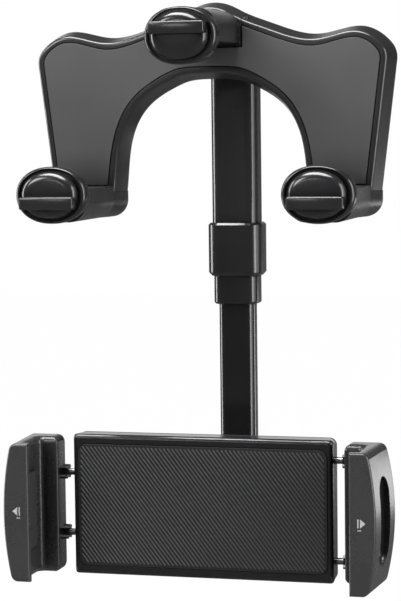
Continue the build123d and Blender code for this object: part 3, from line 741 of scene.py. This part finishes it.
class SubAssembly:
    """A group of CAD nodes on one or more bodies, with the pieces added to them."""

    def dress(self, finish: Finish, *nodes: str) -> None:
        """Give CAD nodes a finish.

        Args:
            finish: The finish to assign.
            nodes: The nodes' names.
        """
        for name in nodes:
            thing = frame["nodes"][name]
            if not thing.material_slots:
                thing.data.materials.append(finish.material())
            for slot in thing.material_slots:
                slot.material = finish.material()
            LOG.info("dressed %s in %s", name, finish.name)

    def settle(self, piece: bpy.types.Object, body: str, slot: str) -> None:
        """Ride a new piece on a body.

        Args:
            piece: The finished piece.
            body: The body that carries it.
            slot: Not used.
        """
        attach(piece, body)
        LOG.info("piece %s rides on %s", piece.name, body)

    def fit_screws(
        self, screws: ScrewShape, size: ScrewSize, node: str, spots: Sequence[Spot], body: str
    ) -> None:
        """Put detailed screws in the places of a node of plain ones.

        Args:
            screws: The shared screw tree.
            size: The screws' sizes.
            node: The plain screws' node, whose rear face the heads keep.
            spots: The screws' places in X and Z.
            body: The body that carries them.
        """
        head_y = NodeBox.of(node).high.y - size.head_t / 2
        points = [(x * MM, head_y * MM, z * MM) for x, z in spots]
        piece = screws.run(node.removesuffix("s") + "_set", points, size.inputs())
        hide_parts(node)
        self.settle(piece, body, "screw_steel")


@dataclass
class Bracket(SubAssembly):
    """Arched bracket with its pad, cover, claws and the sprung top claw."""

    screw: ScrewSize = ScrewSize(head_t=1.8, length=9.0)
    screw_spots: tuple[Spot, ...] = ((68.0, -6.0), (58.0, -46.0), (28.0, -12.0), (59.5, -60.5))

    def build(self, screws: ScrewShape) -> None:
        """Dress the bracket and fit its cover screws.

        Args:
            screws: The shared screw tree.
        """
        self.dress(BRACKET_BLACK, "bracket_shell", "bracket_cover")
        self.dress(PANEL_GREY, "mirror_pad")
        self.dress(CLAW_BLACK, "left_claw_arm", "right_claw_arm", "top_claw_slider")
        self.dress(SCREW_STEEL, "left_head_screw", "right_head_screw", "top_head_screw")
        self.dress(SCREW_STEEL, "top_claw_spring")
        spots = [(side * x, z) for x, z in self.screw_spots for side in (-1, 1)]
        self.fit_screws(screws, self.screw, "cover_screws", spots, "bracket")


@dataclass(frozen=True)
class Ring:
    """One level of an oval surface: its width, its height and its place along Y, in millimetres."""

    width: float
    height: float
    y: float


@dataclass
class ClawHeads(SubAssembly):
    """Turning oval heads of the three claws, each with a rim, a moat, a dome and a finger bar."""

    heads: tuple[tuple[str, Way], ...] = (("left", Way.PLUS), ("right", Way.PLUS), ("top", Way.MINUS))
    shift: float = 3.3
    back: float = -42.2
    back_bevel: float = 0.8
    face: float = -48.6
    rim_w: float = 32.4
    rim_h: float = 25.0
    rim_round: float = 2.6
    rim_steps: int = 6
    lip_w: float = 0.5
    lip_h: float = 0.3
    lip_drop: float = 0.3
    moat_w: float = 1.2
    moat_t: float = 1.2
    dome_w: float = 25.6
    dome_h: float = 20.6
    dome_foot: float = 0.1
    dome_round: float = 3.7
    dome_steps: int = 7
    crown_w: float = 9.0
    crown_h: float = 6.0
    crown_rise: float = 0.12
    fullness: float = 2.15
    steps: int = 88
    bar: Point = (24.6, 7.3, 5.4)
    bar_rise: float = 6.8
    bar_round: float = 0.8
    bar_steps: int = 3
    stem_r: float = 2.55
    stem_l: float = 6.5
    stem_sunk: float = 0.2
    stem_sides: int = 24
    crease: float = 34.0

    def build(self) -> None:
        """Make the three heads in the places of the plain ones."""
        for name, way in self.heads:
            node = name + "_claw_head"
            piece = self.head(name + "_domed_head", NodeBox.of(node).middle, way)
            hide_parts(node)
            self.settle(piece, name + "_head", "head_plastic")

    def rim_rings(self) -> list[Ring]:
        """Levels of the bevel at the back, the side and the rounded rim.

        Returns:
            The levels from back to front.
        """
        bevel = self.back_bevel
        levels = [
            Ring(self.rim_w - 2 * bevel, self.rim_h - 2 * bevel, self.back),
            Ring(self.rim_w, self.rim_h, self.back - bevel),
        ]
        inset_w = self.rim_w - self.dome_w - 2 * self.moat_w - self.lip_w
        inset_h = self.rim_h - self.dome_h - 2 * self.moat_w - self.lip_h
        for step in range(self.rim_steps + 1):
            turn = math.pi / 2 * step / self.rim_steps
            share = 1 - math.cos(turn)
            depth = self.face + self.rim_round - self.rim_round * math.sin(turn)
            levels.append(Ring(self.rim_w - share * inset_w, self.rim_h - share * inset_h, depth))
        return levels

    def moat_rings(self) -> list[Ring]:
        """Levels of the moat between the rim and the dome.

        Returns:
            The levels from its outer edge to the dome's foot.
        """
        wide, high = self.dome_w + 2 * self.moat_w, self.dome_h + 2 * self.moat_w
        floor = self.face + self.moat_t
        return [
            Ring(wide, high, self.face + self.lip_drop),
            Ring(wide, high, floor),
            Ring(self.dome_w, self.dome_h, floor),
        ]

    def dome_rings(self) -> list[Ring]:
        """Levels of the dome.

        Returns:
            The levels from its wall to its crown.
        """
        levels = []
        start = self.face - self.dome_foot
        for step in range(self.dome_steps + 1):
            turn = math.pi / 2 * step / self.dome_steps
            inset = 2 * self.dome_round * (1 - math.cos(turn))
            depth = start - self.dome_round * math.sin(turn)
            levels.append(Ring(self.dome_w - inset, self.dome_h - inset, depth))
        levels.append(Ring(self.crown_w, self.crown_h, start - self.dome_round - self.crown_rise))
        return levels

    def oval(self, shape: bmesh.types.BMesh, ring: Ring, middle: Vector) -> list[bmesh.types.BMVert]:
        """Add one level's vertices round the head's middle.

        Args:
            shape: The shape to add to.
            ring: The level.
            middle: The middle of the head.

        Returns:
            The vertices in order.
        """
        verts = []
        for step in range(self.steps):
            turn = 2 * math.pi * step / self.steps
            across, above = math.cos(turn), math.sin(turn)
            swell = abs(across) ** self.fullness + abs(above) ** self.fullness
            reach = swell ** (-1 / self.fullness)
            x = middle.x + reach * across * ring.width / 2
            z = middle.z + reach * above * ring.height / 2
            verts.append(shape.verts.new((x * MM, ring.y * MM, z * MM)))
        return verts

    def add_skin(self, shape: bmesh.types.BMesh, middle: Vector) -> None:
        """Join the levels from the back to the crown and close both ends.

        Args:
            shape: The shape to add to.
            middle: The middle of the head.
        """
        rings = [*self.rim_rings(), *self.moat_rings(), *self.dome_rings()]
        loops = [self.oval(shape, ring, middle) for ring in rings]
        shape.faces.new(loops[0])
        for near, far in zip(loops, loops[1:]):
            for i in range(self.steps):
                k = (i + 1) % self.steps
                shape.faces.new((near[i], near[k], far[k], far[i]))
        shape.faces.new(loops[-1])

    def add_bar(self, shape: bmesh.types.BMesh, x: float, z: float) -> None:
        """Stand the rounded finger bar across the dome.

        Args:
            shape: The shape to add to.
            x: The turning axis's place across.
            z: The turning axis's height.
        """
        long, deep, tall = self.bar
        middle = Matrix.Translation((x * MM, (self.face - self.bar_rise + deep / 2) * MM, z * MM))
        size = Matrix.Diagonal((long * MM, deep * MM, tall * MM, 1.0))
        block = bmesh.ops.create_cube(shape, size=1.0, matrix=middle @ size)["verts"]
        bmesh.ops.bevel(
            shape,
            geom=list({edge for vert in block for edge in vert.link_edges}),
            offset=self.bar_round * MM,
            segments=self.bar_steps,
            profile=0.5,
            affect="EDGES",
        )

    def add_stem(self, shape: bmesh.types.BMesh, x: float, z: float) -> None:
        """Add the round stem that turns in the claw's arm.

        Args:
            shape: The shape to add to.
            x: The turning axis's place across.
            z: The turning axis's height.
        """
        lie = Matrix.Rotation(math.pi / 2, 4, "X")
        y = self.back + self.stem_l / 2 - self.stem_sunk
        bmesh.ops.create_cone(
            shape,
            cap_ends=True,
            segments=self.stem_sides,
            radius1=self.stem_r * MM,
            radius2=self.stem_r * MM,
            depth=self.stem_l * MM,
            matrix=Matrix.Translation((x * MM, y * MM, z * MM)) @ lie,
        )

    def head(self, name: str, middle: Vector, way: Way) -> bpy.types.Object:
        """Make one head, which is off centre on its turning axis.

        Args:
            name: Name of the piece.
            middle: The middle of the head.
            way: The way along Z in which the head is off centre.

        Returns:
            The head as a mesh piece.
        """
        axis_z = middle.z - way.value * self.shift
        shape = bmesh.new()
        self.add_skin(shape, middle)
        self.add_bar(shape, middle.x, axis_z)
        self.add_stem(shape, middle.x, axis_z)
        bmesh.ops.recalc_face_normals(shape, faces=shape.faces)
        for face in shape.faces:
            face.smooth = True
        for edge in shape.edges:
            edge.smooth = edge.calc_face_angle(0.0) < math.radians(self.crease)
        return moulded(name, shape, HEAD_BLACK)


@dataclass
class Pole(SubAssembly):
    """Swivel, telescopic tubes and ball joint."""

    def build(self) -> None:
        """Dress the pole and its joints."""
        self.dress(JOINT_BLACK, "pole_head", "pivot_cap", "ball_arm", "lock_nut")
        self.dress(LINER_GREY, "friction_washer", "ball_liner")
        self.dress(SCREW_STEEL, "pivot_bolt", "pivot_nut")
        self.dress(POLE_GLOSS, "outer_tube", "mid_tube", "inner_tube")
        self.dress(COLLAR_GLOSS, "outer_collar", "mid_collar")


@dataclass
class Clamp(SubAssembly):
    """Clamp body with its ribbed grip pad and rear screws."""

    rib_margin: float = 1.2
    rib_pitch: float = 1.9
    rib_lean: float = 52.8
    rib_w: float = 0.76
    rib_h: float = 0.4
    rib_shortest: float = 2.0
    screw: ScrewSize = ScrewSize(head_t=1.6, length=8.0)
    screw_spot: Spot = (50.0, 7.0)

    def build(self, screws: ScrewShape) -> None:
        """Dress the clamp, raise the pad's ribs and fit the screws.

        Args:
            screws: The shared screw tree.
        """
        self.dress(FRAME_GLOSS, "clamp_frame")
        self.dress(BACK_BLACK, "clamp_back")
        self.dress(PAINTED_SHADE_GRIP_RUBBER, "grip_pad")
        self.dress(SCREW_STEEL, "left_jaw_springs", "right_jaw_springs")
        pad = NodeBox.of("grip_pad")
        self.settle(self.ribs(pad), "clamp", "grip_rubber")
        x, z = self.screw_spot
        spots = [(side * x, pad.middle.z + end * z) for side in (1, -1) for end in (1, -1)]
        self.fit_screws(screws, self.screw, "clamp_screws", spots, "clamp")

    def ribs(self, pad: NodeBox) -> bpy.types.Object:
        """Make the slanting ribs on the front of the grip pad.

        Args:
            pad: The pad's box.

        Returns:
            The ribs as one piece.
        """
        half_w, half_h = pad.half.x - self.rib_margin, pad.half.z - self.rib_margin
        piece = RibShape().run(
            "grip_ribs",
            [(0.0, 0.0, 0.0)],
            {
                "Half Width": half_w * MM,
                "Half Height": half_h * MM,
                "Pitch": self.rib_pitch * MM,
                "Lean": math.radians(self.rib_lean),
                "Rib Width": self.rib_w * MM,
                "Rib Height": self.rib_h * MM,
                "Shortest Rib": self.rib_shortest * MM,
                "Count": 2 * math.ceil((half_w + half_h) / self.rib_pitch),
                "Material": PAINTED_LIT_RIB_RUBBER.material(),
            },
        )
        piece.data.transform(Matrix.Translation((0.0, pad.low.y * MM, pad.middle.z * MM)))
        return piece


@dataclass
class Jaws(SubAssembly):
    """Sprung jaws with their soft strips, rods and pull marks."""

    sides: tuple[tuple[str, Way], ...] = (("left", Way.MINUS), ("right", Way.PLUS))
    mark_x: float = 77.4
    mark_z: float = -206.6
    mark_t: float = 0.06
    arrow: tuple[Spot, ...] = ((2.1, 0.0), (-0.3, 2.0), (-0.3, -2.0))
    bar: tuple[Spot, ...] = ((-0.9, 1.9), (-1.5, 1.9), (-1.5, -1.9), (-0.9, -1.9))
    dash: tuple[Spot, ...] = ((0.2, -2.7), (-1.5, -2.7), (-1.5, -3.2), (0.2, -3.2))

    def build(self) -> None:
        """Dress the jaws and print a pull mark on each lip."""
        self.dress(JAW_BLACK, "left_jaw", "right_jaw")
        self.dress(STRIP_RUBBER, "left_jaw_pad", "right_jaw_pad")
        self.dress(ROD_CHROME, "left_rods", "right_rods")
        for name, way in self.sides:
            lip_front = NodeBox.of(name + "_jaw").low.y
            piece = self.mark(name + "_pull_mark", lip_front, way)
            self.settle(piece, name + "_jaw_slide", "jaw_plastic")

    def mark(self, name: str, lip_front: float, way: Way) -> bpy.types.Object:
        """Print a thin arrow that points outwards, with a bar behind it and a dash below.

        Args:
            name: Name of the piece.
            lip_front: Place of the lip's front along Y.
            way: The way along X in which the arrow points.

        Returns:
            The mark as a thin solid on the lip's front.
        """
        shape = bmesh.new()
        for outline in (self.arrow, self.bar, self.dash):
            corners = []
            for x, z in outline:
                across = (self.mark_x + x) * way.value
                corners.append(shape.verts.new((across * MM, lip_front * MM, (self.mark_z + z) * MM)))
            made = bmesh.ops.extrude_face_region(shape, geom=[shape.faces.new(corners)])
            raised = [v for v in made["geom"] if isinstance(v, bmesh.types.BMVert)]
            bmesh.ops.translate(shape, verts=raised, vec=(0.0, -self.mark_t * MM, 0.0))
        bmesh.ops.recalc_face_normals(shape, faces=shape.faces)
        return moulded(name, shape, MARK_WHITE)


@dataclass(frozen=True)
class Lamp:
    """A rectangular soft light aimed at a point, in metres and watts."""

    name: str
    place: Point
    target: Point
    width: float
    height: float
    power: float

    def build(self) -> None:
        """Make the light."""
        data = bpy.data.lights.new(self.name, "AREA")
        data.shape = "RECTANGLE"
        data.size = self.width
        data.size_y = self.height
        data.energy = self.power
        lamp = bpy.data.objects.new(self.name, data)
        lamp.location = self.place
        aim = Vector(self.target) - Vector(self.place)
        lamp.rotation_euler = aim.to_track_quat("-Z", "Y").to_euler()
        bpy.context.scene.collection.objects.link(lamp)


@dataclass
class Studio:
    """Camera at the photograph's view, pale floor, white surround and soft lamps, in metres."""

    image_height: float = 601.0
    focal_px: float = 2192.41
    sensor_height: float = 24.0
    sight: float = 50.0
    eye: Point = (0.251446, -0.955665, -0.032333)
    yaw: float = math.radians(15.026)
    pitch: float = math.radians(-4.847)
    roll: float = math.radians(-0.710)
    floor_z: float = -0.62
    floor_reach: float = 6.0
    floor_dark: Colour = (0.86, 0.86, 0.86)
    floor_light: Colour = (0.9, 0.9, 0.9)
    floor_cloud: float = 3.0
    floor_roughness: float = 0.9
    floor_seen: float = 1.02
    floor_mirrored: float = 0.15
    floor_cover: float = 0.97
    surround_stops: tuple[Spot, ...] = ((0.88, 0.03), (0.97, 1.0))
    surround_fill: float = 0.16
    lamps: tuple[Lamp, ...] = (
        Lamp("top_box", (-0.15, -0.2, 1.1), (0.0, 0.0, -0.1), 1.1, 0.6, 31.0),
        Lamp("key_box", (-0.9, -1.1, 0.7), (0.0, 0.0, -0.1), 0.6, 0.6, 12.0),
        Lamp("front_box", (-0.33, -1.25, 0.2), (0.0, 0.0, 0.0), 0.3, 0.12, 0.6),
        Lamp("left_strip", (-1.2, 0.05, 0.1), (0.0, 0.0, -0.1), 0.34, 1.3, 11.0),
        Lamp("right_wall", (1.15, -0.2, 0.15), (0.0, -0.05, -0.1), 1.0, 1.1, 7.0),
        Lamp("right_strip", (1.1, -0.38, 0.1), (0.0, 0.0, -0.1), 0.22, 1.2, 6.0),
        Lamp("rear_strip", (0.62, 1.15, -0.32), (0.08, 0.0, -0.2), 0.34, 0.2, 0.6),
    )

    def build(self) -> None:
        """Make the stage."""
        bpy.context.scene.view_settings.view_transform = "Standard"
        self.camera()
        self.floor()
        self.surround()
        for lamp in self.lamps:
            lamp.build()

    def ahead(self) -> Vector:
        """Direction that the camera looks in."""
        level = math.cos(self.pitch)
        return Vector((-math.sin(self.yaw) * level, math.cos(self.yaw) * level, math.sin(self.pitch)))

    def camera(self) -> None:
        """Place the camera where the photograph was taken from."""
        ahead = self.ahead()
        right = Vector((math.cos(self.yaw), math.sin(self.yaw), 0.0))
        up = right.cross(ahead)
        across = math.cos(self.roll) * right + math.sin(self.roll) * up
        above = -math.sin(self.roll) * right + math.cos(self.roll) * up
        data = bpy.data.cameras.new("photo_camera")
        data.sensor_fit = "VERTICAL"
        data.sensor_height = self.sensor_height
        data.lens = self.focal_px / self.image_height * self.sensor_height
        data.clip_end = self.sight
        camera = bpy.data.objects.new("photo_camera", data)
        turn = Matrix((across, above, -ahead)).transposed().to_4x4()
        camera.matrix_world = Matrix.Translation(Vector(self.eye)) @ turn
        bpy.context.scene.collection.objects.link(camera)
        bpy.context.scene.camera = camera

    def floor(self) -> None:
        """Lay a plain pale floor below the holder."""
        mesh = bpy.data.meshes.new("floor")
        signs = ((-1, -1), (1, -1), (1, 1), (-1, 1))
        corners = [Vector((x * self.floor_reach, y * self.floor_reach, self.floor_z)) for x, y in signs]
        mesh.from_pydata(corners, [], [range(len(corners))])
        mesh.materials.append(self.floor_paint())
        set_down("floor", mesh)

    def floor_paint(self) -> bpy.types.Material:
        """Pale paint that the camera sees as white and glossy pieces see as dim.

        Returns:
            The floor's material.
        """
        paint = bpy.data.materials.new("pale_floor")
        paint.use_nodes = True
        bench = Bench(paint.node_tree)
        shader = paint.node_tree.nodes["Principled BSDF"]
        place = bench.add("ShaderNodeTexCoord").out("Object")
        cloud = bench.add("ShaderNodeTexNoise", {}, {"Vector": place, "Scale": self.floor_cloud})
        tone = bench.tint(cloud, self.floor_dark, self.floor_light)
        bench.fill(shader, {"Base Color": tone, "Roughness": self.floor_roughness})
        seen, mirrored = self.ray_kinds(bench)
        strength = seen * (self.floor_seen - self.floor_mirrored) + self.floor_mirrored
        glow = bench.add("ShaderNodeEmission", {}, {"Strength": strength})
        share = (seen * self.floor_cover).math("MAXIMUM", mirrored)
        layers = {0: share, 1: Field(bench, shader.outputs[0]), 2: glow}
        mixed = bench.add("ShaderNodeMixShader", {}, layers)
        bench.fill(paint.node_tree.nodes["Material Output"], {"Surface": mixed})
        return paint

    def surround(self) -> None:
        """White surround behind the holder that darkens towards the viewer's side."""
        world = bpy.data.worlds.new("surround")
        bpy.context.scene.world = world
        world.use_nodes = True
        bench = Bench(world.node_tree)
        direction = bench.add("ShaderNodeTexCoord").out("Generated")
        pair = {0: direction, 1: self.ahead()}
        ahead = bench.add("ShaderNodeVectorMath", {"operation": "DOT_PRODUCT"}, pair).out("Value")
        lit = bench.add("ShaderNodeValToRGB", {"stops": self.surround_stops}, {0: ahead})
        seen, mirrored = self.ray_kinds(bench)
        rest = (1.0 - seen) * (1.0 - mirrored)
        strength = seen + mirrored * lit + rest * self.surround_fill
        back = world.node_tree.nodes["Background"]
        bench.fill(back, {"Color": (1.0, 1.0, 1.0, 1.0), "Strength": strength})

    @staticmethod
    def ray_kinds(bench: Bench) -> tuple[Field, Field]:
        """Tell the camera's rays from those that glossy and clear pieces send on.

        Args:
            bench: The tree to add to.

        Returns:
            1 for a ray of the camera, and 1 for a glossy or transmitted ray.
        """
        rays = bench.add("ShaderNodeLightPath")
        mirrored = rays.out("Is Glossy Ray").math("MAXIMUM", rays.out("Is Transmission Ray"))
        return rays.out("Is Camera Ray"), mirrored


def main() -> None:
    """Build every sub-assembly in order."""
    logging.basicConfig(level=logging.INFO, format="%(name)s: %(message)s")
    screws = ScrewShape()
    Bracket().build(screws)
    ClawHeads().build()
    Pole().build()
    Clamp().build(screws)
    Jaws().build()
    Studio().build()
    bpy.context.view_layer.update()


if __name__ == "__main__":
    main()
